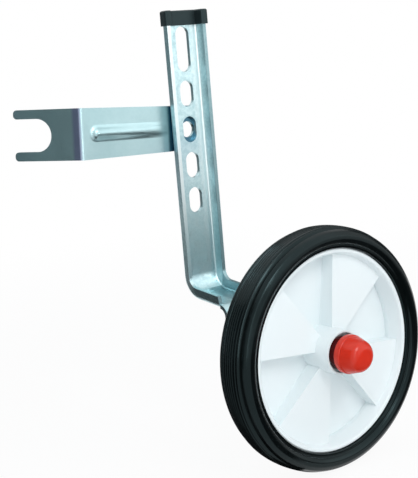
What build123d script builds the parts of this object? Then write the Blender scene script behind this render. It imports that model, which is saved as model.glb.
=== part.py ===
from build123d import *
import math
import os

os.makedirs("parts", exist_ok=True)

# Frame: millimetres, origin on the bicycle axle at the inboard face of the fork bracket
# +Z runs up the leg, -Y points outboard to the wheel, -X points forward along the frame fork

# Half a turn in degrees
half_turn = 180.0

# Sheet steel and the fits
steel = 2.5
slip = 0.2
running = 0.07
play = 0.1
snug = 0.05

# Leg: a channel with splayed flanges
leg_half_w = 13.4
flange_depth = 8.3
flange_splay = 13.0
corner_r = 4.0
leg_top = 74.0

# Leg slots for the bicycle axle
slot_w = 10.4
slot_len = 16.7
slot_pitch = 23.0
slots_below = 2
long_slot_len = 28.8
long_slot_z = 51.3

# Foot and wheel tab of the leg
foot_bend_r = 15.0
foot_bend_z = -94.5
foot_turn = 83.7
foot_run = 22.8
tab_bend_r = 5.0

# Plastic cap on the top of the leg
cap_wall = 1.5
cap_drop = 7.8

# Fork bracket
axle_hole_d = 10.4
arm_reach = 79.6
arm_tail = 13.0
arm_half_w = 15.75
tail_half_w = 14.0
arm_rise = 1.0
tail_corner_r = 9.0
fork_turn = 58.5
fork_bend_r = 2.0
fork_len = 46.9
fork_seat = 31.2
fork_gap = 20.3
prong_tip_r = 2.4
bracket_tilt = 3.2

# Stiffening rib pressed in the bracket, fading out toward the leg
rib_start = 69.3
rib_half_w = 5.4
rib_rise = 2.8
rib_flank_w = 0.53
rib_flank_h = 0.524
rib_foot_w = 0.74
rib_foot_h = 0.18
rib_end = 16.0
rib_end_half_w = 5.0
rib_end_rise = 0.25

# Wheel position
axle_drop = 127.7
wheel_reach = 115.9
wheel_turn = 6.5

# Tyre
tyre_h = 12.5
tyre_w = 29.0
shoulder_r = 8.4
bead_w = 20.8
bead_lip_h = 1.6
bead_lip_out = 1.7
bead_groove = 0.7
cheek_h = 4.0
cheek_turn = 1.4
groove_count = 7
groove_pitch = 2.43
groove_w = 1.1
groove_d = 0.9

# Wheel moulding
rim_r = 59.7
rim_w = 21.0
rim_wall = 2.8
rim_draft = 2.6
lip_bevel = 0.7
tongue_w = 6.0
tongue_h = 2.6
pad_out = 6.4
pad_in = -1.6
pad_out_hub = 7.2
pad_in_hub = -3.6
pad_t = 2.8
pad_count = 4
hub_front = 17.1
hub_back = 25.0
hub_r = 12.9
hub_draft = 0.3
hub_lip = 1.1
hub_pocket_d = 5.0

# Wheel axle hardware
axle_d = 8.0
hex_w = 13.0
hex_sides = 6
head_h = 5.3
nut_h = 6.5
lock_nut_h = 8.0
washer_t = 1.5
washer_r = 10.3
spring_washer_t = 2.0
spring_washer_r = 7.4
spring_slit = 1.2
sleeve_r = 7.5
collar_h = 2.0
collar_r = 5.6
axle_stub = 3.2
hex_taper = 30.0
thread_chamfer = 0.8

# Hub cap
hub_cap_wall = 1.5
hub_cap_lift = 1.8
hub_cap_flange_r = 11.7
hub_cap_flange_t = 1.2
hub_cap_cone_r = 11.3
hub_cap_cone_start = 1.7
hub_cap_tip_r = 8.5
hub_cap_len = 20.8
hub_cap_round = 4.0
hub_cap_top_t = 3.2

# Derived places on the leg
back_y = -steel
front_y = back_y - steel
tip_y = back_y - flange_depth
splay = math.radians(flange_splay)
tip_half_w = leg_half_w + flange_depth * math.tan(splay)
wall_x = steel / math.cos(splay)
web_half_w = leg_half_w + steel * math.tan(splay) - wall_x
past_y = 2 * flange_depth
past_half_w = web_half_w + (past_y - steel) * math.tan(splay)

# Derived places on the foot and the tab
turn = math.radians(foot_turn)
along_y = -math.sin(turn)
along_z = -math.cos(turn)
under_y = math.cos(turn)
under_z = -math.sin(turn)
pivot_y = back_y - foot_bend_r
foot_y = pivot_y - pivot_y * under_y
foot_z = foot_bend_z - pivot_y * under_z
end_y = foot_y + foot_run * along_y
end_z = foot_z + foot_run * along_z
tab_pivot_y = end_y + (back_y + tab_bend_r) * under_y
tab_pivot_z = end_z + (back_y + tab_bend_r) * under_z
tab_in_y = tab_pivot_y - tab_bend_r
tab_out_y = tab_in_y - steel

# Derived stations along the wheel axle, counted outboard from the middle of the wheel
tab_in = -wheel_reach - tab_in_y
tab_out = -wheel_reach - tab_out_y
tab_nut_in = tab_out + spring_washer_t
sleeve_in = tab_nut_in + nut_h
inner_washer_out = -hub_back - play
sleeve_out = inner_washer_out - washer_t
hub_seat = hub_front - hub_pocket_d
outer_washer_in = hub_seat + play
lock_nut_in = outer_washer_in + washer_t
lock_nut_out = lock_nut_in + lock_nut_h
axle_end = lock_nut_out + axle_stub
hex_flat_r = hex_w / 2
hex_corner_r = hex_flat_r / math.cos(math.pi / hex_sides)
hex_bevel = (hex_corner_r - hex_flat_r) * math.tan(math.radians(hex_taper))


def across(outboard):
    """Plane across the wheel axle, facing outboard."""
    return Plane(origin=(0, -wheel_reach - outboard, -axle_drop), x_dir=(1, 0, 0), z_dir=(0, -1, 0))


wheel_section = Plane(origin=(0, -wheel_reach, -axle_drop), x_dir=(1, 0, 0), z_dir=(0, 0, -1))
wheel_axis = Axis((0, -wheel_reach, -axle_drop), (0, -1, 0))
bend_plane = Plane.XY.offset(foot_bend_z)
foot_plane = Plane(origin=(0, foot_y, foot_z), x_dir=(1, 0, 0), z_dir=(0, -along_y, -along_z))
foot_end_plane = Plane(origin=(0, end_y, end_z), x_dir=(1, 0, 0), z_dir=(0, -along_y, -along_z))
tab_plane = Plane(origin=(0, tab_in_y, -axle_drop), x_dir=(1, 0, 0), z_dir=(0, -1, 0))
web_plane = Plane(origin=(0, back_y, 0), x_dir=(0, 0, 1), z_dir=(0, -1, 0))


def channel(plane):
    """Section of the leg, drawn on a plane across the leg."""
    with BuildSketch(plane) as section:
        with BuildLine():
            Polyline(
                (-tip_half_w, tip_y),
                (-leg_half_w, back_y),
                (leg_half_w, back_y),
                (tip_half_w, tip_y),
                close=True,
            )
        make_face()
        fillet(section.vertices().group_by(Axis.Y)[-1], corner_r)
        with BuildLine():
            Polyline(
                (-past_half_w, back_y - past_y),
                (-web_half_w, front_y),
                (web_half_w, front_y),
                (past_half_w, back_y - past_y),
                close=True,
            )
        make_face(mode=Mode.SUBTRACT)
        fillet(section.vertices().filter_by(lambda v: abs(v.Y - front_y) < snug), corner_r - steel)
    return section.sketch


# Leg with its slots, foot and wheel tab
with BuildPart() as leg:
    extrude(channel(bend_plane), amount=leg_top - foot_bend_z, dir=(0, 0, 1))
    foot_axis = Axis((0, pivot_y, foot_bend_z), (-1, 0, 0))
    revolve(channel(bend_plane), axis=foot_axis, revolution_arc=foot_turn)
    extrude(channel(foot_plane), amount=foot_run, dir=(0, along_y, along_z))
    with BuildSketch(foot_end_plane):
        with Locations((0, back_y)):
            Rectangle(2 * leg_half_w, steel, align=(Align.CENTER, Align.MAX))
    revolve(axis=Axis((0, tab_pivot_y, tab_pivot_z), (1, 0, 0)), revolution_arc=foot_turn)
    with BuildSketch(tab_plane):
        Circle(leg_half_w)
        Rectangle(2 * leg_half_w, tab_pivot_z + axle_drop, align=(Align.CENTER, Align.MIN))
    extrude(amount=steel)
    with BuildSketch(web_plane):
        with GridLocations(slot_pitch, 0, slots_below + 2, 1):
            with Locations((-slot_pitch / 2 * (slots_below - 1), 0)):
                SlotOverall(slot_len, slot_w)
        with Locations((long_slot_z, 0)):
            SlotOverall(long_slot_len, slot_w)
    extrude(amount=steel, mode=Mode.SUBTRACT)
    with BuildSketch(tab_plane):
        Circle(axle_d / 2 + slip)
    extrude(amount=steel, mode=Mode.SUBTRACT)
leg.part.label = "leg"
export_step(leg.part, "parts/leg.step")

# Plastic cap pushed over the top of the leg
with BuildPart() as leg_end_cap:
    with BuildSketch(Plane.XY.offset(leg_top - cap_drop)):
        add(channel(Plane.XY))
        offset(amount=cap_wall, kind=Kind.ARC)
    extrude(amount=cap_drop + cap_wall)
    chamfer(leg_end_cap.edges().group_by(Axis.Z)[-1], cap_wall / 2)
    with BuildSketch(Plane.XY.offset(leg_top - cap_drop)):
        add(channel(Plane.XY))
        offset(amount=snug, kind=Kind.ARC)
    extrude(amount=cap_drop, mode=Mode.SUBTRACT)
leg_end_cap.part.label = "leg_end_cap"
export_step(leg_end_cap.part, "parts/leg_end_cap.step")

# Derived places on the fork bracket, before it is tilted
bend = math.radians(fork_turn)
plate_x = -math.cos(bend)
plate_y = math.sin(bend)
arm_plane = Plane(origin=(0, 0, arm_rise), x_dir=(1, 0, 0), z_dir=(0, -1, 0))
fork_heel = (-arm_reach, -steel, arm_rise)
fork_plane = Plane(origin=fork_heel, x_dir=(plate_x, plate_y, 0), z_dir=(plate_y, -plate_x, 0))
fork_normal = Axis((0, 0, 0), (plate_y, -plate_x, 0))
fork_tip_x = -arm_reach + plate_x * fork_len
fork_tip_y = -steel + plate_y * fork_len


def rib_plane(station, base_y):
    """Plane across the arm at a station, its own y pointing outboard from base_y."""
    return Plane(origin=(-station, base_y, arm_rise), x_dir=(0, 0, 1), z_dir=(1, 0, 0))


def rib_outline(half_w, rise, skirt):
    """Round-backed outline of the rib with flared feet, and a skirt sunk below them."""
    flank_w = half_w * rib_flank_w
    flank_h = rise * rib_flank_h
    foot_w = half_w * rib_foot_w
    foot_h = rise * rib_foot_h
    with BuildSketch() as outline:
        with BuildLine():
            ThreePointArc((half_w, 0), (foot_w, foot_h), (flank_w, flank_h))
            ThreePointArc((flank_w, flank_h), (0, rise), (-flank_w, flank_h))
            ThreePointArc((-flank_w, flank_h), (-foot_w, foot_h), (-half_w, 0))
            Polyline((-half_w, 0), (-half_w, -skirt), (half_w, -skirt), (half_w, 0))
        make_face()
    return outline.sketch


def rib_form(base_y, narrower, skirt):
    """Rib with a round nose near the fork, lofted to a low end near the leg."""
    half_w = rib_half_w - narrower
    with BuildPart() as form:
        with BuildSketch(rib_plane(rib_start, base_y)):
            add(rib_outline(half_w, rib_rise, skirt))
        with BuildSketch(rib_plane(rib_end, base_y)):
            add(rib_outline(rib_end_half_w - narrower, rib_end_rise, skirt))
        loft()
        with BuildSketch(rib_plane(rib_start, base_y)):
            add(rib_outline(half_w, rib_rise, skirt))
            Rectangle(half_w, 2 * half_w, align=(Align.MIN, Align.CENTER), mode=Mode.INTERSECT)
        revolve(axis=Axis((-rib_start, 0, arm_rise), (0, -1, 0)), revolution_arc=half_turn)
    return form.part


# Bracket with the axle hole and the fork
with BuildPart() as fork_bracket:
    with BuildSketch(Plane.XY):
        with BuildLine() as path:
            Polyline((arm_tail, -steel), (-arm_reach, -steel), (fork_tip_x, fork_tip_y))
            fillet(path.vertices().sort_by(Axis.Y)[:2].sort_by(Axis.X)[:1], fork_bend_r + steel)
            offset(amount=steel, side=Side.RIGHT)
        make_face()
    extrude(amount=2 * arm_half_w, both=True)
    with BuildSketch(arm_plane):
        with BuildLine():
            Polyline(
                (arm_tail, -tail_half_w),
                (arm_tail, tail_half_w),
                (-arm_reach, arm_half_w),
                (-2 * arm_reach, arm_half_w),
                (-2 * arm_reach, -arm_half_w),
                (-arm_reach, -arm_half_w),
                close=True,
            )
        make_face()
    extrude(amount=2 * fork_len, both=True, mode=Mode.INTERSECT)
    with BuildSketch(fork_plane):
        with Locations((fork_seat, 0)):
            Circle(fork_gap / 2)
            Rectangle(fork_len, fork_gap, align=(Align.MIN, Align.CENTER))
    extrude(amount=2 * steel, both=True, mode=Mode.SUBTRACT)
    tail_edges = fork_bracket.edges().filter_by(Axis.Y).group_by(Axis.X)[-1]
    fillet(tail_edges, tail_corner_r)
    tip_edges = fork_bracket.edges().filter_by(fork_normal).group_by(Axis.Y)[-1]
    fillet(tip_edges, prong_tip_r)
    add(rib_form(-steel, 0, steel / 2))
    add(rib_form(0, steel / 2, snug), mode=Mode.SUBTRACT)
    with BuildSketch(Plane.XZ):
        Circle(axle_hole_d / 2)
    extrude(amount=2 * steel, both=True, mode=Mode.SUBTRACT)
bracket_part = fork_bracket.part.rotate(Axis.Y, bracket_tilt)
bracket_part.label = "fork_bracket"
export_step(bracket_part, "parts/fork_bracket.step")


# Derived places on the tyre
bead_r = rim_r + snug
tyre_r = rim_r + tyre_h
lip_half_w = bead_w / 2 + bead_lip_out
shoulder = min(shoulder_r, tyre_h - cheek_h - play)


def tyre_side(side):
    """Outline of one side of the tyre from bead to crown: side is 1 outboard and -1 inboard."""
    return [
        (bead_r, side * bead_w / 2),
        (bead_r + bead_lip_h / 2, side * lip_half_w),
        (bead_r + bead_lip_h, side * lip_half_w),
        (bead_r + bead_lip_h + bead_groove, side * (lip_half_w - bead_groove)),
        (bead_r + cheek_h - cheek_turn, side * (tyre_w / 2 - cheek_turn)),
        (bead_r + cheek_h, side * tyre_w / 2),
        (tyre_r, side * tyre_w / 2),
    ]


# Tyre of solid rubber, with a groove inside for the tongue of the rim and fine grooves in the tread
with BuildPart() as tyre:
    with BuildSketch(wheel_section) as tyre_section:
        with BuildLine():
            Polyline(*tyre_side(-1), *reversed(tyre_side(1)), close=True)
        make_face()
        fillet(tyre_section.vertices().group_by(Axis.X)[-1], shoulder)
        with Locations((bead_r, 0)):
            Rectangle(tongue_h, tongue_w, align=(Align.MIN, Align.CENTER), mode=Mode.SUBTRACT)
        with Locations((tyre_r, 0)):
            with GridLocations(0, groove_pitch, 1, groove_count):
                Polygon(
                    (groove_d, -groove_w),
                    (groove_d, groove_w),
                    (-groove_d, 0),
                    align=None,
                    mode=Mode.SUBTRACT,
                )
    revolve(axis=wheel_axis)
tyre.part.label = "tyre"
export_step(tyre.part, "parts/tyre.step")

# Derived places on the wheel moulding
sector = half_turn / pad_count
first_pad = sector - wheel_turn
web_r = rim_r - rim_wall / 2
hub_root_r = hub_r + hub_draft
core_r = hub_r - pad_t
hub_pocket_r = hub_r - hub_lip
rim_in_r = rim_r - rim_wall
web_middle = (pad_out + pad_in - pad_t) / 2
half_t = pad_t / 2
wall_levels = (pad_in_hub - half_t, pad_out_hub - half_t, pad_in - half_t, pad_out - half_t)


def web_strip(angle, hub_low, hub_high, rim_low, rim_high):
    """Section of the web between hub and rim, on a plane through the axle at an angle from +X."""
    with BuildSketch(wheel_section.rotated((0, -angle, 0))) as strip:
        Polygon((core_r, hub_low), (web_r, rim_low), (web_r, rim_high), (core_r, hub_high), align=None)
    return strip.sketch


# Wheel moulding: rim, hub and a web of sectors dished by turns outboard and inboard
with BuildPart() as wheel_disc:
    with BuildSketch(wheel_section) as rim_section:
        with BuildLine():
            Polyline(
                (rim_r, -rim_w / 2),
                (rim_r, rim_w / 2),
                (rim_in_r, rim_w / 2),
                (rim_in_r - rim_draft, web_middle),
                (rim_in_r, -rim_w / 2),
                close=True,
            )
        make_face()
        chamfer(rim_section.vertices(), lip_bevel)
        with Locations((rim_r - rim_wall / 2, 0)):
            Rectangle(rim_wall / 2 + tongue_h, tongue_w, align=(Align.MIN, Align.CENTER))
        with BuildLine():
            Polyline(
                (0, -hub_back),
                (hub_r, -hub_back),
                (hub_root_r, pad_in_hub - pad_t),
                (hub_root_r, pad_out_hub),
                (hub_r, hub_front),
                (0, hub_front),
                close=True,
            )
        make_face()
    revolve(axis=wheel_axis)
    for pad in range(pad_count):
        start = first_pad + 2 * sector * pad
        middle = start + sector
        raised = web_strip(start, pad_out_hub - pad_t, pad_out_hub, pad_out - pad_t, pad_out)
        revolve(raised, axis=wheel_axis, revolution_arc=sector)
        sunken = web_strip(middle, pad_in_hub - pad_t, pad_in_hub, pad_in - pad_t, pad_in)
        revolve(sunken, axis=wheel_axis, revolution_arc=sector)
        extrude(web_strip(start, *wall_levels), amount=-pad_t)
        extrude(web_strip(middle, *wall_levels), amount=pad_t)
    with BuildSketch(across(hub_seat)):
        Circle(hub_pocket_r)
    extrude(amount=hub_pocket_d, mode=Mode.SUBTRACT)
    with BuildSketch(across(-hub_back)):
        Circle(axle_d / 2 + running)
    extrude(amount=hub_back + hub_front, mode=Mode.SUBTRACT)
wheel_disc.part.label = "wheel_disc"
export_step(wheel_disc.part, "parts/wheel_disc.step")


def turned_hex(inboard, height):
    """Hexagon on the wheel axle, its corners turned off at both ends."""
    with BuildPart() as body:
        with BuildSketch(across(inboard)):
            RegularPolygon(hex_flat_r, hex_sides, major_radius=False)
        extrude(amount=height)
        with BuildSketch(wheel_section):
            with Locations((0, inboard)):
                Polygon(
                    (0, 0),
                    (hex_flat_r, 0),
                    (hex_corner_r, hex_bevel),
                    (hex_corner_r, height - hex_bevel),
                    (hex_flat_r, height),
                    (0, height),
                    align=None,
                )
        revolve(axis=wheel_axis, mode=Mode.INTERSECT)
    return body.part


def ring(inboard, length, outer_r, bore_r):
    """Plain round ring on the wheel axle."""
    with BuildPart() as body:
        with BuildSketch(across(inboard)):
            Circle(outer_r)
            Circle(bore_r, mode=Mode.SUBTRACT)
        extrude(amount=length)
    return body.part


# Wheel bolt with its head behind the tab
with BuildPart() as axle_bolt:
    add(turned_hex(tab_in - head_h, head_h))
    with BuildSketch(across(tab_in)):
        Circle(axle_d / 2)
    extrude(amount=axle_end - tab_in)
    chamfer(axle_bolt.edges().group_by(Axis.Y)[0], thread_chamfer)
axle_bolt.part.label = "axle_bolt"
export_step(axle_bolt.part, "parts/axle_bolt.step")

# Spring washer with its slit, nut and sleeve between the tab and the wheel
with BuildPart() as spring_washer:
    add(ring(tab_out, spring_washer_t, spring_washer_r, axle_d / 2 + slip))
    with BuildSketch(across(tab_out)):
        Rectangle(2 * spring_washer_r, spring_slit, align=(Align.MIN, Align.CENTER))
    extrude(amount=spring_washer_t, mode=Mode.SUBTRACT)
spring_washer.part.label = "spring_washer"
export_step(spring_washer.part, "parts/spring_washer.step")

with BuildPart() as tab_nut:
    add(turned_hex(tab_nut_in, nut_h))
    with BuildSketch(across(tab_nut_in)):
        Circle(axle_d / 2 + snug)
    extrude(amount=nut_h, mode=Mode.SUBTRACT)
tab_nut.part.label = "tab_nut"
export_step(tab_nut.part, "parts/tab_nut.step")

spacer_sleeve = ring(sleeve_in, sleeve_out - sleeve_in, sleeve_r, axle_d / 2 + slip)
spacer_sleeve.label = "spacer_sleeve"
export_step(spacer_sleeve, "parts/spacer_sleeve.step")

inner_washer = ring(sleeve_out, washer_t, washer_r, axle_d / 2 + slip)
inner_washer.label = "inner_washer"
export_step(inner_washer, "parts/inner_washer.step")

# Washer and lock nut in the pocket of the hub
outer_washer = ring(outer_washer_in, washer_t, washer_r, axle_d / 2 + slip)
outer_washer.label = "outer_washer"
export_step(outer_washer, "parts/outer_washer.step")

with BuildPart() as lock_nut:
    add(turned_hex(lock_nut_in, lock_nut_h - collar_h))
    with BuildSketch(across(lock_nut_in)):
        Circle(collar_r)
    extrude(amount=lock_nut_h)
    with BuildSketch(across(lock_nut_in)):
        Circle(axle_d / 2 + snug)
    extrude(amount=lock_nut_h, mode=Mode.SUBTRACT)
lock_nut.part.label = "lock_nut"
export_step(lock_nut.part, "parts/lock_nut.step")

# Derived places on the hub cap
cap_base = lock_nut_in
cap_tip = cap_base + hub_cap_len
flange_base = hub_front + hub_cap_lift
flange_edge = flange_base + hub_cap_flange_t
cone_base = flange_base + hub_cap_cone_start
nut_room_r = hex_corner_r + slip
skirt_r = nut_room_r + hub_cap_wall

# Red plastic cap: a skirt round the lock nut, a flange over the hub's mouth and a round-nosed cone
with BuildPart() as hub_cap:
    with BuildSketch(wheel_section) as cap_section:
        with BuildLine():
            Polyline(
                (0, cap_base),
                (skirt_r, cap_base),
                (skirt_r, flange_base),
                (hub_cap_flange_r, flange_base),
                (hub_cap_flange_r, flange_edge),
                (hub_cap_cone_r, cone_base),
                (hub_cap_tip_r, cap_tip),
                (0, cap_tip),
                close=True,
            )
        make_face()
        fillet(cap_section.vertices().group_by(Axis.Y)[-1].sort_by(Axis.X)[-1], hub_cap_round)
        with Locations((0, cap_base)):
            Rectangle(nut_room_r, lock_nut_h, align=(Align.MIN, Align.MIN), mode=Mode.SUBTRACT)
            bore_len = hub_cap_len - hub_cap_top_t
            Rectangle(collar_r, bore_len, align=(Align.MIN, Align.MIN), mode=Mode.SUBTRACT)
    revolve(axis=wheel_axis)
hub_cap.part.label = "hub_cap"
export_step(hub_cap.part, "parts/hub_cap.step")
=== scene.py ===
"""Looks of a bicycle training wheel: finishes, finer pieces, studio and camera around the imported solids."""

import logging
import math
from dataclasses import dataclass
from enum import Enum
from typing import Any, Union

import bmesh
import bpy
from mathutils import Matrix, Vector


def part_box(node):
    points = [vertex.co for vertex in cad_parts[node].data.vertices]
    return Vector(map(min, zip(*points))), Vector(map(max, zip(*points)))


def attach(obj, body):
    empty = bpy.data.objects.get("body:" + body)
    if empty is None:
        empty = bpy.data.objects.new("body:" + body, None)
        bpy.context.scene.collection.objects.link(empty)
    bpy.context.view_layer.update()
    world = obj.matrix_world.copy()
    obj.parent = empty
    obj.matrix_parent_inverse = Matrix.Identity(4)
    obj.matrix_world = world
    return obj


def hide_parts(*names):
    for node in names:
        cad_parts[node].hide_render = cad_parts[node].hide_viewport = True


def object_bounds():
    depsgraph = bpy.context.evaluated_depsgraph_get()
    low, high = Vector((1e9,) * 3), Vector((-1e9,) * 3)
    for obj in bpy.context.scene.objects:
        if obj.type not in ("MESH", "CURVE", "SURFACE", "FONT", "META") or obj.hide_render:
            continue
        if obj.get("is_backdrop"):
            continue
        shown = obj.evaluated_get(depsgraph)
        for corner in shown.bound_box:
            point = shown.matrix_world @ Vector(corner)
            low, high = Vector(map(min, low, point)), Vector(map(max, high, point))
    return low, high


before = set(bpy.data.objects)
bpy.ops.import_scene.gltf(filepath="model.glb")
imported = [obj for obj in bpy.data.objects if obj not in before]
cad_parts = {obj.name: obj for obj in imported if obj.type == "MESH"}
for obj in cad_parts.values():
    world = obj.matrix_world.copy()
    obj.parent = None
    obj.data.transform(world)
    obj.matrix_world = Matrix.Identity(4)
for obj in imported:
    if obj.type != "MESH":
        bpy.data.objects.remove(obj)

log = logging.getLogger("training_wheel")

MM = 0.001
FLOOR_GAP = 0.05 * MM
SEAM_REACH = 0.002 * MM
SHARP_ANGLE = 35.0
NOISE_ROUGHNESS = 0.55
EVEN_SCALE = (1.0, 1.0, 1.0)
WHITE_LIGHT = (1.0, 1.0, 1.0)

Colour = tuple[float, float, float]
Triple = tuple[float, float, float]
Span = tuple[float, float]
Outline = tuple[Span, ...]
Value = Union["Wire", float, int, tuple]
Sockets = dict[str | int, Value]


class Body(str, Enum):
    """Bodies that the redrawn pieces ride on."""

    LEG = "leg"
    WHEEL = "wheel"


class Slot(str, Enum):
    """Names of material slots for the redrawn pieces; nothing in this script uses them."""

    RUBBER = "tyre_rubber"
    RED = "red_plastic"


class Wire:
    """One shader socket that can be used in sums and products."""

    def __init__(self, graph: "Graph", socket: bpy.types.NodeSocket) -> None:
        """Keep the socket and the graph that it belongs to."""
        self.graph = graph
        self.socket = socket

    def _math(self, operation: str, first: Value, second: Value) -> "Wire":
        """Add one Math node.

        Args:
            operation: the Math node's operation.
            first: its first value.
            second: its second value.

        Returns:
            The node's result.
        """
        return self.graph.node("ShaderNodeMath", {"operation": operation}, {0: first, 1: second})

    def __add__(self, other: Value) -> "Wire":
        """Sum."""
        return self._math("ADD", self, other)

    def __radd__(self, other: Value) -> "Wire":
        """Sum with a number in front."""
        return self._math("ADD", other, self)

    def __sub__(self, other: Value) -> "Wire":
        """Difference."""
        return self._math("SUBTRACT", self, other)

    def __rsub__(self, other: Value) -> "Wire":
        """Difference from a number."""
        return self._math("SUBTRACT", other, self)

    def __mul__(self, other: Value) -> "Wire":
        """Product."""
        return self._math("MULTIPLY", self, other)

    def __rmul__(self, other: Value) -> "Wire":
        """Product with a number in front."""
        return self._math("MULTIPLY", other, self)

    def highest(self, other: Value) -> "Wire":
        """The larger of two values."""
        return self._math("MAXIMUM", self, other)

    def ramp(self, low: float, high: float) -> "Wire":
        """Smooth step from 0 at low to 1 at high."""
        settings = {"interpolation_type": "SMOOTHSTEP"}
        inputs = {"Value": self, "From Min": low, "From Max": high}
        return self.graph.node("ShaderNodeMapRange", settings, inputs)


class Graph:
    """Node tree of one material or of the world."""

    def __init__(self, tree: bpy.types.NodeTree) -> None:
        """Start from an empty tree."""
        self.tree = tree
        self.tree.nodes.clear()

    def node(self, kind: str, settings: dict[str, Any] | None = None, inputs: Sockets | None = None,
             out: str | int = 0) -> Wire:
        """Add a node.

        Args:
            kind: the node's type.
            settings: attributes to set first.
            inputs: a value or a wire for each named or numbered socket.
            out: the output to return.

        Returns:
            The chosen output.
        """
        made = self.tree.nodes.new(kind)
        for key, value in (settings or {}).items():
            setattr(made, key, value)
        for key, value in (inputs or {}).items():
            if isinstance(value, Wire):
                self.tree.links.new(value.socket, made.inputs[key])
            elif isinstance(value, tuple) and made.inputs[key].type == "RGBA":
                made.inputs[key].default_value = (*value[:3], 1.0)
            else:
                made.inputs[key].default_value = value
        return Wire(self, made.outputs[out]) if made.outputs else Wire(self, made.inputs[0])

    def mix(self, factor: Value, first: Value, second: Value) -> Wire:
        """Blend two colours."""
        return self.node("ShaderNodeMix", {"data_type": "RGBA"}, {0: factor, 6: first, 7: second}, 2)

    def spot(self) -> Wire:
        """Object coordinates, in metres."""
        return self.node("ShaderNodeTexCoord", out="Object")

    def axes(self) -> tuple[Wire, Wire, Wire]:
        """X, Y and Z of the object coordinates."""
        spot = self.spot()
        return tuple(self.node("ShaderNodeSeparateXYZ", None, {0: spot}, axis) for axis in "XYZ")

    def noise(self, scale: float, detail: float, stretch: Triple = EVEN_SCALE) -> Wire:
        """Noise value.

        Args:
            scale: how fine it is, per metre.
            detail: how many finer layers it has.
            stretch: a factor on each axis.

        Returns:
            The noise, 0 to 1.
        """
        place = self.node("ShaderNodeMapping", {"vector_type": "POINT"}, {"Vector": self.spot(), "Scale": stretch})
        inputs = {"Vector": place, "Scale": scale, "Detail": detail, "Roughness": NOISE_ROUGHNESS}
        return self.node("ShaderNodeTexNoise", None, inputs)

    def bump(self, height: Wire, depth: float, strength: float) -> Wire:
        """Normal from a height.

        Args:
            height: the height, 0 to 1.
            depth: what a height of 1 stands for, in metres.
            strength: how much of it shows.

        Returns:
            The bumped normal.
        """
        inputs = {"Height": height, "Distance": depth, "Strength": strength}
        return self.node("ShaderNodeBump", None, inputs)

    def viewed(self) -> Wire:
        """1 where the camera looks, straight, by a reflection or through something clear."""
        rays = ("Is Camera Ray", "Is Glossy Ray", "Is Transmission Ray")
        straight, mirrored, through = (self.node("ShaderNodeLightPath", out=ray) for ray in rays)
        return straight.highest(mirrored).highest(through)


@dataclass(frozen=True)
class Layer:
    """Layer of noise: its scale per metre, its detail, the span of it that shows and its stretch."""

    scale: float
    detail: float
    span: Span | None = None
    stretch: Triple = EVEN_SCALE

    def on(self, graph: Graph) -> Wire:
        """The layer's value, 0 to 1."""
        noise = graph.noise(self.scale, self.detail, self.stretch)
        return noise.ramp(*self.span) if self.span else noise


@dataclass(frozen=True)
class Finish:
    """Finish of one kind of surface."""

    name: str

    def material(self) -> bpy.types.Material:
        """Make the Blender material."""
        made = bpy.data.materials.new(self.name)
        made.use_nodes = True
        graph = Graph(made.node_tree)
        surface = graph.node("ShaderNodeBsdfPrincipled", None, self.sockets(graph))
        graph.node("ShaderNodeOutputMaterial", None, {"Surface": surface})
        return made

    def sockets(self, graph: Graph) -> Sockets:
        """Values and wires for the shader's sockets."""
        raise NotImplementedError

    def stains_and_painted_light(self, graph: Graph, base: Wire) -> Wire:
        """Base colour with the piece's own stains and its painted shade and highlights, none by default."""
        return base


@dataclass(frozen=True)
class ZincPlate(Finish):
    """Bright blue-passivated zinc on rolled sheet steel."""

    pale: Colour = (0.60, 0.78, 0.81)
    deep: Colour = (0.38, 0.58, 0.62)
    violet: Colour = (0.48, 0.57, 0.70)
    gloss: float = 0.26
    speckle: float = 0.45
    cloud: Layer = Layer(38.0, 3.0, (0.35, 0.7))
    cast: Layer = Layer(17.0, 1.0, (0.52, 0.75))
    streak: Layer = Layer(1.0, 3.0, None, (420.0, 420.0, 16.0))
    spangle: Layer = Layer(480.0, 3.0, (0.36, 0.64))
    fine: Layer = Layer(1500.0, 2.0)
    cloud_share: float = 0.35
    cast_share: float = 0.3
    streak_rough: float = 0.08
    cloud_rough: float = 0.05
    spangle_rough: float = 0.2
    streak_height: float = 0.3
    fine_height: float = 0.3
    relief: float = 0.03 * MM
    relief_share: float = 0.6

    def sockets(self, graph: Graph) -> Sockets:
        """Rolled streaks, cloudy plating, spangle and a faint violet cast."""
        layers = (self.cloud, self.cast, self.streak, self.spangle, self.fine)
        cloud, cast, streak, spangle, fine = (layer.on(graph) for layer in layers)
        base = graph.mix(cloud * self.cloud_share + spangle * self.speckle, self.pale, self.deep)
        base = graph.mix(cast * self.cast_share, base, self.violet)
        rough = self.gloss + self.streak_rough * streak + self.cloud_rough * cloud
        height = streak * self.streak_height + spangle * self.speckle + fine * self.fine_height
        return {
            "Base Color": self.stains_and_painted_light(graph, base),
            "Metallic": 1.0,
            "Roughness": rough + self.spangle_rough * self.speckle * spangle,
            "Normal": graph.bump(height, self.relief, self.relief_share),
        }


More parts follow.
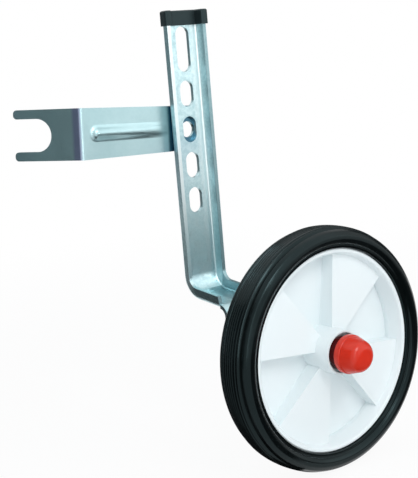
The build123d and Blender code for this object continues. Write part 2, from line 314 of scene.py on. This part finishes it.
@dataclass(frozen=True)
class LegZinc(ZincPlate):
    """Zinc of the leg, with painted shade darkening it above the foot and painted highlights on one flange's cut
    edge and along the other one's bend.
    """

    # painted shade: a darker colour laid on the lower half of the leg, strongest just above the foot
    painted_low_shade: Colour = (0.28, 0.45, 0.48)
    low_shade_foot: float = 0.15
    low_shade_above: float = 0.4
    fade: Span = (-82.0 * MM, -30.0 * MM)
    foot: Span = (-98.0 * MM, -86.0 * MM)
    # painted highlight: a pale colour laid on one flange's cut edge and along the other flange's bend
    painted_highlight: Colour = (0.82, 0.91, 0.92)
    highlight_low: float = 0.35
    highlight_more: float = 0.65
    edge: Span = (-10.75 * MM, -10.45 * MM)
    edge_share: float = 0.85
    middle: Span = (-2.0 * MM, 2.0 * MM)
    rear_cut: Colour = (0.20, 0.33, 0.36)
    rear_share: float = 0.8
    bend_start: Span = (4.0 * MM, 9.5 * MM)
    bend_end: Span = (11.0 * MM, 12.5 * MM)
    bend_highlight_share: float = 0.75
    web_face: Span = (-7.0 * MM, -5.6 * MM)

    def stains_and_painted_light(self, graph: Graph, base: Wire) -> Wire:
        """Painted shade on the lower half, a dark right cut edge, and painted highlights on the left cut edge and
        along the bend.
        """
        across, depth, up = graph.axes()
        bright = up.ramp(*self.fade)
        above_foot = up.ramp(*self.foot)
        # painted shade towards the foot
        painted_low_shade = (1.0 - bright) * (self.low_shade_foot + self.low_shade_above * above_foot)
        base = graph.mix(painted_low_shade, base, self.painted_low_shade)
        rim = 1.0 - depth.ramp(*self.edge)
        right = across.ramp(*self.middle)
        base = graph.mix(rim * right * self.rear_share, base, self.rear_cut)
        # painted highlight on the left cut edge and along the bend, stronger higher up
        edge = rim * (1.0 - right) * self.edge_share
        bend_highlight = across.ramp(*self.bend_start) * (1.0 - across.ramp(*self.bend_end)) * depth.ramp(*self.web_face)
        highlight_mask = above_foot * (self.highlight_low + self.highlight_more * bright) * (edge + bend_highlight * self.bend_highlight_share)
        return graph.mix(highlight_mask, base, self.painted_highlight)


@dataclass(frozen=True)
class BracketZinc(ZincPlate):
    """Zinc of the fork bracket, stained violet along the bend, with painted shade in dark navy where the leg
    covers it.
    """

    pale: Colour = (0.45, 0.63, 0.66)
    deep: Colour = (0.36, 0.55, 0.58)
    speckle: float = 0.12
    streak: Layer = Layer(1.0, 3.0, None, (16.0, 420.0, 420.0))
    tilt: float = 3.2
    stain: Colour = (0.30, 0.32, 0.52)
    stain_share: float = 0.85
    stain_start: Span = (-2.2 * MM, -0.6 * MM)
    stain_end: Span = (1.6 * MM, 4.0 * MM)
    arm_end: Span = (-79.0 * MM, -78.0 * MM)
    # painted shade: dark navy where the leg covers the bracket and just beside the leg
    painted_contact_shade: Colour = (0.035, 0.13, 0.20)
    contact_shade_share: float = 0.92
    leg_side: Span = (-16.2 * MM, -14.0 * MM)
    face: Span = (-2.3 * MM, -1.6 * MM)

    def stains_and_painted_light(self, graph: Graph, base: Wire) -> Wire:
        """Violet band beside the bend and a painted shade patch under and beside the leg."""
        across, depth, up = graph.axes()
        tilt = math.radians(self.tilt)
        along = across * math.cos(tilt) - up * math.sin(tilt)
        plate = 1.0 - along.ramp(*self.arm_end)
        band = plate * depth.ramp(*self.stain_start) * (1.0 - depth.ramp(*self.stain_end))
        base = graph.mix(band * self.stain_share, base, self.stain)
        # painted shade under and beside the leg
        contact_shade_mask = along.ramp(*self.leg_side) * (1.0 - depth.ramp(*self.face))
        return graph.mix(contact_shade_mask * self.contact_shade_share, base, self.painted_contact_shade)


@dataclass(frozen=True)
class Rubber(Finish):
    """Satin black solid rubber with a fine moulded skin."""

    dark: Colour = (0.0015, 0.002, 0.0022)
    worn: Colour = (0.004, 0.005, 0.0055)
    gloss: float = 0.15
    shine: float = 0.26
    tint: Colour = (0.62, 0.95, 1.0)
    bloom: Layer = Layer(60.0, 3.0, (0.4, 0.72))
    grain: Layer = Layer(2200.0, 3.0)
    bloom_share: float = 0.6
    bloom_rough: float = 0.09
    grain_rough: float = 0.06
    relief: float = 0.04 * MM
    relief_share: float = 0.3

    def sockets(self, graph: Graph) -> Sockets:
        """Soft bloom, moulded grain and uneven sheen."""
        bloom = self.bloom.on(graph)
        grain = self.grain.on(graph)
        return {
            "Base Color": graph.mix(bloom * self.bloom_share, self.dark, self.worn),
            "Roughness": self.gloss + self.bloom_rough * bloom + self.grain_rough * grain,
            "Specular IOR Level": self.shine,
            "Specular Tint": self.tint,
            "Normal": graph.bump(grain, self.relief, self.relief_share),
        }


@dataclass(frozen=True)
class MouldedPlastic(Finish):
    """Injection-moulded plastic with a slightly uneven skin."""

    base: Colour = (0.8, 0.8, 0.8)
    shade: Colour = (0.7, 0.7, 0.7)
    gloss: float = 0.35
    shine: float = 0.4
    tint: Colour = (1.0, 1.0, 1.0)
    flow: Layer = Layer(45.0, 2.0, (0.3, 0.75))
    wave: Layer = Layer(90.0, 1.0)
    grain: Layer = Layer(1500.0, 2.0)
    flow_share: float = 0.5
    flow_rough: float = 0.08
    grain_rough: float = 0.05
    wave_height: float = 0.6
    grain_height: float = 0.4
    relief: float = 0.05 * MM
    relief_share: float = 0.5

    def sockets(self, graph: Graph) -> Sockets:
        """Flow marks in the colour, ripple and fine grain in the skin."""
        flow, wave, grain = (layer.on(graph) for layer in (self.flow, self.wave, self.grain))
        height = wave * self.wave_height + grain * self.grain_height
        return {
            "Base Color": self.stains_and_painted_light(graph, graph.mix(flow * self.flow_share, self.base, self.shade)),
            "Roughness": self.gloss + self.flow_rough * flow + self.grain_rough * grain,
            "Specular IOR Level": self.shine,
            "Specular Tint": self.tint,
            "Normal": graph.bump(height, self.relief, self.relief_share),
        }


@dataclass(frozen=True)
class CapPlastic(MouldedPlastic):
    """Plastic of the hub cap, with painted shade on the skirt that sits in the hub."""

    # painted shade: near-black red on the skirt in the hub's pocket
    painted_skirt_shade: Colour = (0.05, 0.007, 0.010)
    skirt_shade_share: float = 0.9
    skirt: Span = (-136.2 * MM, -135.7 * MM)

    def stains_and_painted_light(self, graph: Graph, base: Wire) -> Wire:
        """Painted shade, near-black red, on the skirt below the collar."""
        _, depth, _ = graph.axes()
        # painted shade on the skirt
        return graph.mix(depth.ramp(*self.skirt) * self.skirt_shade_share, base, self.painted_skirt_shade)


LEG_ZINC = LegZinc("bright_zinc_leg")
BRACKET_ZINC = BracketZinc("bright_zinc_bracket")
FASTENER = ZincPlate("zinc_fastener", pale=(0.66, 0.70, 0.72), deep=(0.5, 0.55, 0.58),
                     streak=Layer(1.0, 3.0, None, (300.0, 300.0, 300.0)))
TYRE_RUBBER = Rubber("solid_tyre_rubber")
WHITE = MouldedPlastic("white_wheel_plastic", base=(0.83, 0.895, 0.91), shade=(0.81, 0.88, 0.90), gloss=0.34,
                       shine=0.3)
RED = CapPlastic("red_cap_plastic", base=(0.64, 0.026, 0.009), shade=(0.57, 0.021, 0.008), gloss=0.17,
                 shine=0.35, relief=0.03 * MM)
BLACK = MouldedPlastic("black_cap_plastic", base=(0.009, 0.014, 0.016), shade=(0.014, 0.021, 0.023), gloss=0.36,
                       tint=(0.65, 0.97, 1.0))
GREY = MouldedPlastic("grey_sleeve_plastic", base=(0.16, 0.17, 0.18), shade=(0.12, 0.13, 0.14), gloss=0.42)


@dataclass
class Axle:
    """Line that the wheel turns on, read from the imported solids."""

    centre: Vector

    @classmethod
    def from_frame(cls) -> "Axle":
        """Take the middle of the tyre."""
        low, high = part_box("tyre")
        return cls((Vector(low) + Vector(high)) / 2)

    def turn(self, mesh: bmesh.types.BMesh, steps: int) -> None:
        """Spin a profile, drawn in the plane of X and Y, round the wheel's axle.

        Args:
            mesh: the mesh that holds the profile about the origin.
            steps: how many steps make a full turn.
        """
        bmesh.ops.spin(mesh, geom=mesh.verts[:] + mesh.edges[:], cent=(0, 0, 0), axis=(0, 1, 0), dvec=(0, 0, 0),
                       angle=2 * math.pi, steps=steps, use_merge=True)
        bmesh.ops.remove_doubles(mesh, verts=mesh.verts[:], dist=SEAM_REACH)
        bmesh.ops.recalc_face_normals(mesh, faces=mesh.faces[:])
        bmesh.ops.translate(mesh, verts=mesh.verts[:], vec=self.centre)


def profile(mesh: bmesh.types.BMesh, points: list[Span]) -> list[bmesh.types.BMVert]:
    """Draw a closed outline in the plane of X and Y.

    Args:
        mesh: the mesh to draw in.
        points: radius and place outboard of each corner, in millimetres.

    Returns:
        The corners in order.
    """
    corners = [mesh.verts.new((radius * MM, -outboard * MM, 0)) for radius, outboard in points]
    mesh.faces.new(corners)
    return corners


def soften(mesh: bmesh.types.BMesh, corners: list[bmesh.types.BMVert], radius: float, segments: int) -> None:
    """Round corners of an outline.

    Args:
        mesh: the mesh.
        corners: the corners to round.
        radius: how far back from the corner the round starts, in millimetres.
        segments: edges along each round.
    """
    bmesh.ops.bevel(mesh, geom=corners, offset=radius * MM, offset_type="OFFSET", segments=segments, profile=0.5,
                    affect="VERTICES", material=-1, clamp_overlap=True)


def drop_faces(mesh: bmesh.types.BMesh) -> None:
    """Leave only the outline of a profile."""
    bmesh.ops.delete(mesh, geom=mesh.faces[:], context="FACES_ONLY")


def new_object(mesh: bmesh.types.BMesh, name: str, material: bpy.types.Material) -> bpy.types.Object:
    """Turn a mesh into an object of the scene.

    Args:
        mesh: the mesh; it is freed.
        name: the object's name.
        material: its material.

    Returns:
        The object.
    """
    data = bpy.data.meshes.new(name)
    mesh.to_mesh(data)
    mesh.free()
    data.materials.append(material)
    made = bpy.data.objects.new(name, data)
    bpy.context.scene.collection.objects.link(made)
    return made


def finish_object(mesh: bmesh.types.BMesh, name: str, finish: Finish, body: Body) -> bpy.types.Object:
    """Turn a mesh into a finished piece.

    Args:
        mesh: the mesh; it is freed.
        name: the piece's name.
        finish: its finish.
        body: the body that it rides on.

    Returns:
        The object.
    """
    made = new_object(mesh, name, finish.material())
    made.data.shade_smooth()
    made.data.set_sharp_from_angle(angle=math.radians(SHARP_ANGLE))
    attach(made, body.value)
    return made


@dataclass
class PressedPiece:
    """A solid of the frame that keeps its shape and gets softened edges and a finish."""

    node: str
    finish: Finish
    edge: float = 0.25
    segments: int = 2
    limit: float = 40.0
    weld: float = 0.001
    flat_weight: int = 100
    flat_reach: float = 0.02

    def build(self) -> None:
        """Weld the facets, round the sharp edges and dress the node."""
        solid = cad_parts[self.node]
        weld = solid.modifiers.new("weld", "WELD")
        weld.merge_threshold = self.weld * MM
        bevel = solid.modifiers.new("soft_edges", "BEVEL")
        bevel.width = self.edge * MM
        bevel.segments = self.segments
        bevel.limit_method = "ANGLE"
        bevel.angle_limit = math.radians(self.limit)
        bevel.use_clamp_overlap = True
        bevel.harden_normals = False
        even = solid.modifiers.new("even_shading", "WEIGHTED_NORMAL")
        even.mode = "FACE_AREA"
        even.weight = self.flat_weight
        even.thresh = self.flat_reach
        even.keep_sharp = False
        solid.data.materials.clear()
        solid.data.materials.append(self.finish.material())
        log.info("dressed %s", self.node)


@dataclass
class Tyre:
    """Solid tyre: ribbed crown between two ridges, round shoulders and two fine rings at each foot."""

    finish: Finish
    outer_foot: Outline = ((59.75, 10.35), (60.0, 11.7), (60.5, 11.9), (60.75, 11.4), (61.0, 11.9), (61.5, 12.0))
    outer_bulge: Outline = ((61.9, 11.8), (62.7, 13.1), (64.7, 14.1), (67.2, 13.9), (69.6, 12.4), (70.8, 10.3))
    outer_ridge: Outline = ((69.2, 8.7), (70.6, 8.2), (71.7, 7.5), (71.7, 6.6), (70.8, 6.0))
    inner_foot: Outline = ((59.75, 10.35), (60.0, 10.8), (60.5, 10.9), (60.75, 10.5), (61.0, 10.9), (61.5, 10.9))
    inner_bulge: Outline = ((61.9, 10.7), (62.7, 11.3), (65.0, 11.9), (67.8, 11.2), (70.0, 9.2), (70.8, 7.3))
    inner_ridge: Outline = ((69.4, 6.0), (70.6, 5.6), (71.7, 5.0), (71.7, 4.3), (70.8, 3.8))
    crown: float = 72.2
    camber: float = 0.012
    middle: float = 1.1
    crown_half: float = 4.5
    grooves: tuple[float, ...] = (2.7, 0.9, -0.9, -2.7)
    groove_half: float = 0.35
    groove_depth: float = 0.38
    tongue_half: float = 3.05
    tongue_top: float = 62.35
    bulge_round: float = 0.85
    bulge_segments: int = 4
    edge_round: float = 0.16
    edge_segments: int = 2
    steps: int = 192

    def build(self, axle: Axle) -> None:
        """Spin the tyre's section round the axle and let it stand for the plain tyre.

        Args:
            axle: the wheel's axle.
        """
        mesh = bmesh.new()
        outer = [*self.outer_foot, *self.outer_bulge, *self.outer_ridge]
        inner = [(radius, -width) for radius, width in (*self.inner_foot, *self.inner_bulge, *self.inner_ridge)]
        section = outer + self.tread() + inner[::-1]
        corners = profile(mesh, section + self.seat())
        foot, bulge, last = len(self.outer_foot), len(self.outer_bulge), len(section)
        shoulders = corners[foot:foot + bulge] + corners[last - foot - bulge:last - foot]
        edges = [corner for corner in corners[1:last - 1] if corner not in shoulders]
        soften(mesh, shoulders, self.bulge_round, self.bulge_segments)
        soften(mesh, edges, self.edge_round, self.edge_segments)
        drop_faces(mesh)
        axle.turn(mesh, self.steps)
        made = finish_object(mesh, "ribbed_tyre", self.finish, Body.WHEEL)
        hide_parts("tyre")
        log.info("tyre section of %d corners", len(corners))

    def height(self, place: float) -> float:
        """Radius of the crown at a place across it, from its middle."""
        return self.crown - self.camber * place * place

    def tread(self) -> list[Span]:
        """Corners of the crown and its grooves, from the outboard side."""
        points = [(self.height(self.crown_half), self.crown_half)]
        for place in self.grooves:
            near, far = place + self.groove_half, place - self.groove_half
            points += [(self.height(near), near), (self.height(place) - self.groove_depth, place),
                       (self.height(far), far)]
        points.append((self.height(self.crown_half), -self.crown_half))
        return [(radius, place + self.middle) for radius, place in points]

    def seat(self) -> list[Span]:
        """Corners of the inner groove that holds the rim's tongue."""
        low, half, top = self.outer_foot[0][0], self.tongue_half, self.tongue_top
        return [(low, -half), (top, -half), (top, half), (low, half)]


@dataclass
class HubCap:
    """Red push-on cap: skirt over the lock nut, rounded collar and a blunt cone."""

    finish: Finish
    base: float = 13.75
    base_round: float = 0.3
    room: Span = (7.8, 21.75)
    bore: Span = (5.6, 31.3)
    skirt: float = 9.8
    collar: float = 11.35
    collar_span: Span = (20.0, 23.9)
    collar_round: float = 0.9
    collar_segments: int = 5
    groove: Span = (10.7, 24.2)
    groove_round: float = 0.2
    cone: Span = (10.95, 24.7)
    tip: Span = (8.0, 34.45)
    tip_round: float = 4.0
    tip_segments: int = 10
    edge_segments: int = 2
    steps: int = 96

    def build(self, axle: Axle) -> None:
        """Spin the cap's section round the axle and let it stand for the plain cap.

        Args:
            axle: the wheel's axle.
        """
        mesh = bmesh.new()
        near, far = self.collar_span
        foot = [(self.room[0], self.base), (self.skirt, self.base), (self.skirt, near)]
        outside = [(self.collar, near), (self.collar, far), self.groove, self.cone, self.tip]
        nose = [(0.0, self.tip[1]), (0.0, self.bore[1])]
        inside = [self.bore, (self.bore[0], self.room[1]), self.room]
        corners = profile(mesh, foot + outside + nose + inside)
        base, collar, ring, tip = corners[:2], corners[3:5], corners[5:7], corners[7:8]
        soften(mesh, tip, self.tip_round, self.tip_segments)
        soften(mesh, collar, self.collar_round, self.collar_segments)
        soften(mesh, ring, self.groove_round, self.edge_segments)
        soften(mesh, base, self.base_round, self.edge_segments)
        drop_faces(mesh)
        axle.turn(mesh, self.steps)
        made = finish_object(mesh, "collared_hub_cap", self.finish, Body.LEG)
        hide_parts("hub_cap")
        log.info("hub cap %.1f mm long", self.tip[1] - self.base)


@dataclass(frozen=True)
class Lamp:
    """Soft lamp: where it hangs and what it faces, in metres, its size, and its power in watts."""

    name: str
    spot: Triple
    target: Triple
    size: Span
    power: float

    def hang(self) -> None:
        """Add the lamp to the scene."""
        data = bpy.data.lights.new(self.name, "AREA")
        data.shape = "RECTANGLE"
        data.size, data.size_y = self.size
        data.energy = self.power
        made = bpy.data.objects.new(self.name, data)
        bpy.context.scene.collection.objects.link(made)
        made.location = self.spot
        facing = Vector(self.target) - Vector(self.spot)
        made.rotation_euler = facing.to_track_quat("-Z", "Y").to_euler()
        log.info("hung %s", self.name)


@dataclass(frozen=True)
class Card:
    """Dark card that only reflections show: its middle and extent, in metres, and how pale it is."""

    name: str
    spot: Triple
    size: Triple
    tone: float
    on_floor: bool = False
    tint: Colour = (0.8, 1.0, 1.03)
    gloss: float = 0.9

    def stand(self, floor_height: float) -> None:
        """Add the card to the scene.

        Args:
            floor_height: height of the floor, from which a card on the floor is measured.
        """
        x, y, z = self.spot
        mesh = bmesh.new()
        bmesh.ops.create_cube(mesh, size=1.0)
        bmesh.ops.scale(mesh, verts=mesh.verts[:], vec=self.size)
        bmesh.ops.translate(mesh, verts=mesh.verts[:], vec=(x, y, floor_height + z if self.on_floor else z))
        felt = tuple(share * self.tone for share in self.tint)
        finish = MouldedPlastic(self.name + "_felt", base=felt, shade=felt, gloss=self.gloss)
        made = new_object(mesh, self.name, finish.material())
        made.visible_camera = False
        made.visible_diffuse = False
        made.visible_shadow = False
        made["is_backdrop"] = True
        log.info("stood %s", self.name)


LAMPS = (
    Lamp("key_softbox", (0.55, -1.25, 0.75), (0.0, -0.08, -0.02), (1.6, 1.6), 4.7),
    Lamp("top_softbox", (-0.15, -0.1, 1.25), (0.0, -0.05, 0.0), (2.0, 2.0), 4.9),
    Lamp("camera_strip", (-0.68, -1.1, 0.12), (0.0, -0.08, -0.05), (0.14, 1.1), 2.2),
    Lamp("front_softbox", (-0.25, -0.88, 0.66), (0.0, -0.1, -0.08), (0.38, 0.38), 3.2),
    Lamp("web_softbox", (0.8, -1.05, 0.12), (0.0, 0.0, 0.0), (0.6, 0.34), 0.3),
)
CARDS = (
    Card("left_card", (-0.62, 0.08, 0.1), (0.01, 0.56, 0.8), 0.2),
    Card("left_far_card", (-0.62, 0.73, 0.1), (0.01, 0.74, 0.8), 0.25),
    Card("left_floor_card", (-0.34, 0.3, 0.005), (0.62, 0.86, 0.001), 0.03, on_floor=True),
    Card("back_card", (-0.12, 1.1, 0.1), (0.95, 0.01, 0.8), 0.3),
    Card("far_card", (0.95, 1.1, 0.35), (1.1, 0.01, 1.0), 0.12),
    Card("right_card", (1.45, 0.37, 0.3), (0.01, 1.5, 1.0), 0.12),
    Card("floor_card", (0.3, -0.45, 0.005), (0.7, 0.6, 0.001), 0.06, on_floor=True),
)


@dataclass
class Studio:
    """Floor, lights and camera; the camera's lengths are in millimetres, the floor's in metres."""

    azimuth: float = -37.45
    elevation: float = 9.763
    roll: float = -4.804
    distance: float = 693.015
    pan: Span = (12.315, -70.929)
    aim: Triple = (0.0, -5.0, 0.0)
    lens: float = 80.742
    sensor: float = 36.0
    floor_size: float = 6.0
    floor_colour: Colour = (0.90, 0.915, 0.925)
    floor_shade: float = 0.985
    floor_rough: float = 0.8
    floor_grain: Layer = Layer(30.0, 2.0, (0.3, 0.7))
    floor_white: float = 0.93
    floor_more: float = 0.07
    floor_reach: Span = (0.25, 0.9)
    sky_colour: Colour = (0.93, 0.97, 1.0)
    sky_strength: float = 0.5

    def build(self, floor_height: float) -> None:
        """Make the whole studio.

        Args:
            floor_height: height of the floor in metres.
        """
        self.camera()
        self.floor(floor_height)
        self.world()
        for lamp in LAMPS:
            lamp.hang()
        for card in CARDS:
            card.stand(floor_height)

    def camera(self) -> None:
        """Set the camera at the photograph's angle."""
        turn, rise, roll = (math.radians(v) for v in (self.azimuth, self.elevation, self.roll))
        back = Vector((math.sin(turn) * math.cos(rise), -math.cos(turn) * math.cos(rise), math.sin(rise)))
        right = Vector((math.cos(turn), math.sin(turn), 0.0))
        up = back.cross(right)
        side = math.cos(roll) * right + math.sin(roll) * up
        top = -math.sin(roll) * right + math.cos(roll) * up
        spot = Vector(self.aim) + side * self.pan[0] + top * self.pan[1] + back * self.distance
        data = bpy.data.cameras.new("photo_camera")
        data.sensor_width = self.sensor
        data.lens = self.lens
        made = bpy.data.objects.new("photo_camera", data)
        bpy.context.scene.collection.objects.link(made)
        made.matrix_world = Matrix.Translation(spot * MM) @ Matrix((side, top, back)).transposed().to_4x4()
        bpy.context.scene.camera = made

    def floor(self, height: float) -> None:
        """Lay a plain pale floor.

        Args:
            height: its height in metres.
        """
        mesh = bmesh.new()
        bmesh.ops.create_grid(mesh, x_segments=1, y_segments=1, size=self.floor_size)
        bmesh.ops.translate(mesh, verts=mesh.verts[:], vec=(0, 0, height))
        made = new_object(mesh, "floor", self.floor_material())
        made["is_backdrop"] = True

    def floor_material(self) -> bpy.types.Material:
        """Pale floor that the camera sees nearly white, with the part's shadow on it."""
        made = bpy.data.materials.new("pale_floor")
        made.use_nodes = True
        graph = Graph(made.node_tree)
        darker = tuple(self.floor_shade * v for v in self.floor_colour)
        base = graph.mix(self.floor_grain.on(graph), self.floor_colour, darker)
        matt = graph.node("ShaderNodeBsdfPrincipled", None, {"Base Color": base, "Roughness": self.floor_rough})
        white = graph.node("ShaderNodeEmission", None, {"Color": WHITE_LIGHT, "Strength": 1.0})
        away = graph.node("ShaderNodeVectorMath", {"operation": "LENGTH"}, {0: graph.spot()}, "Value")
        share = graph.viewed() * (self.floor_white + self.floor_more * away.ramp(*self.floor_reach))
        surface = graph.node("ShaderNodeMixShader", None, {0: share, 1: matt, 2: white})
        graph.node("ShaderNodeOutputMaterial", None, {"Surface": surface})
        return made

    def world(self) -> None:
        """Even pale surroundings, white where the camera looks."""
        made = bpy.data.worlds.new("studio")
        bpy.context.scene.world = made
        made.use_nodes = True
        graph = Graph(made.node_tree)
        sky = graph.node("ShaderNodeBackground", None, {"Color": self.sky_colour, "Strength": self.sky_strength})
        white = graph.node("ShaderNodeBackground", None, {"Color": WHITE_LIGHT, "Strength": 1.0})
        surface = graph.node("ShaderNodeMixShader", None, {0: graph.viewed(), 1: sky, 2: white})
        graph.node("ShaderNodeOutputWorld", None, {"Surface": surface})


def main() -> None:
    """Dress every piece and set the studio."""
    logging.basicConfig(level=logging.INFO, format="%(name)s %(message)s")
    cad_low, cad_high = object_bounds()
    pressed = [
        PressedPiece("leg", LEG_ZINC),
        PressedPiece("fork_bracket", BRACKET_ZINC),
        PressedPiece("leg_end_cap", BLACK),
        PressedPiece("wheel_disc", WHITE, edge=0.5),
        PressedPiece("axle_bolt", FASTENER),
        PressedPiece("spring_washer", FASTENER),
        PressedPiece("tab_nut", FASTENER),
        PressedPiece("spacer_sleeve", GREY),
        PressedPiece("inner_washer", FASTENER),
        PressedPiece("outer_washer", FASTENER),
        PressedPiece("lock_nut", FASTENER),
    ]
    for piece in pressed:
        piece.build()
    axle = Axle.from_frame()
    Tyre(TYRE_RUBBER).build(axle)
    HubCap(RED).build(axle)
    Studio().build(cad_low.z - FLOOR_GAP)
    bpy.context.scene.view_settings.view_transform = "Standard"


if __name__ == "__main__":
    main()
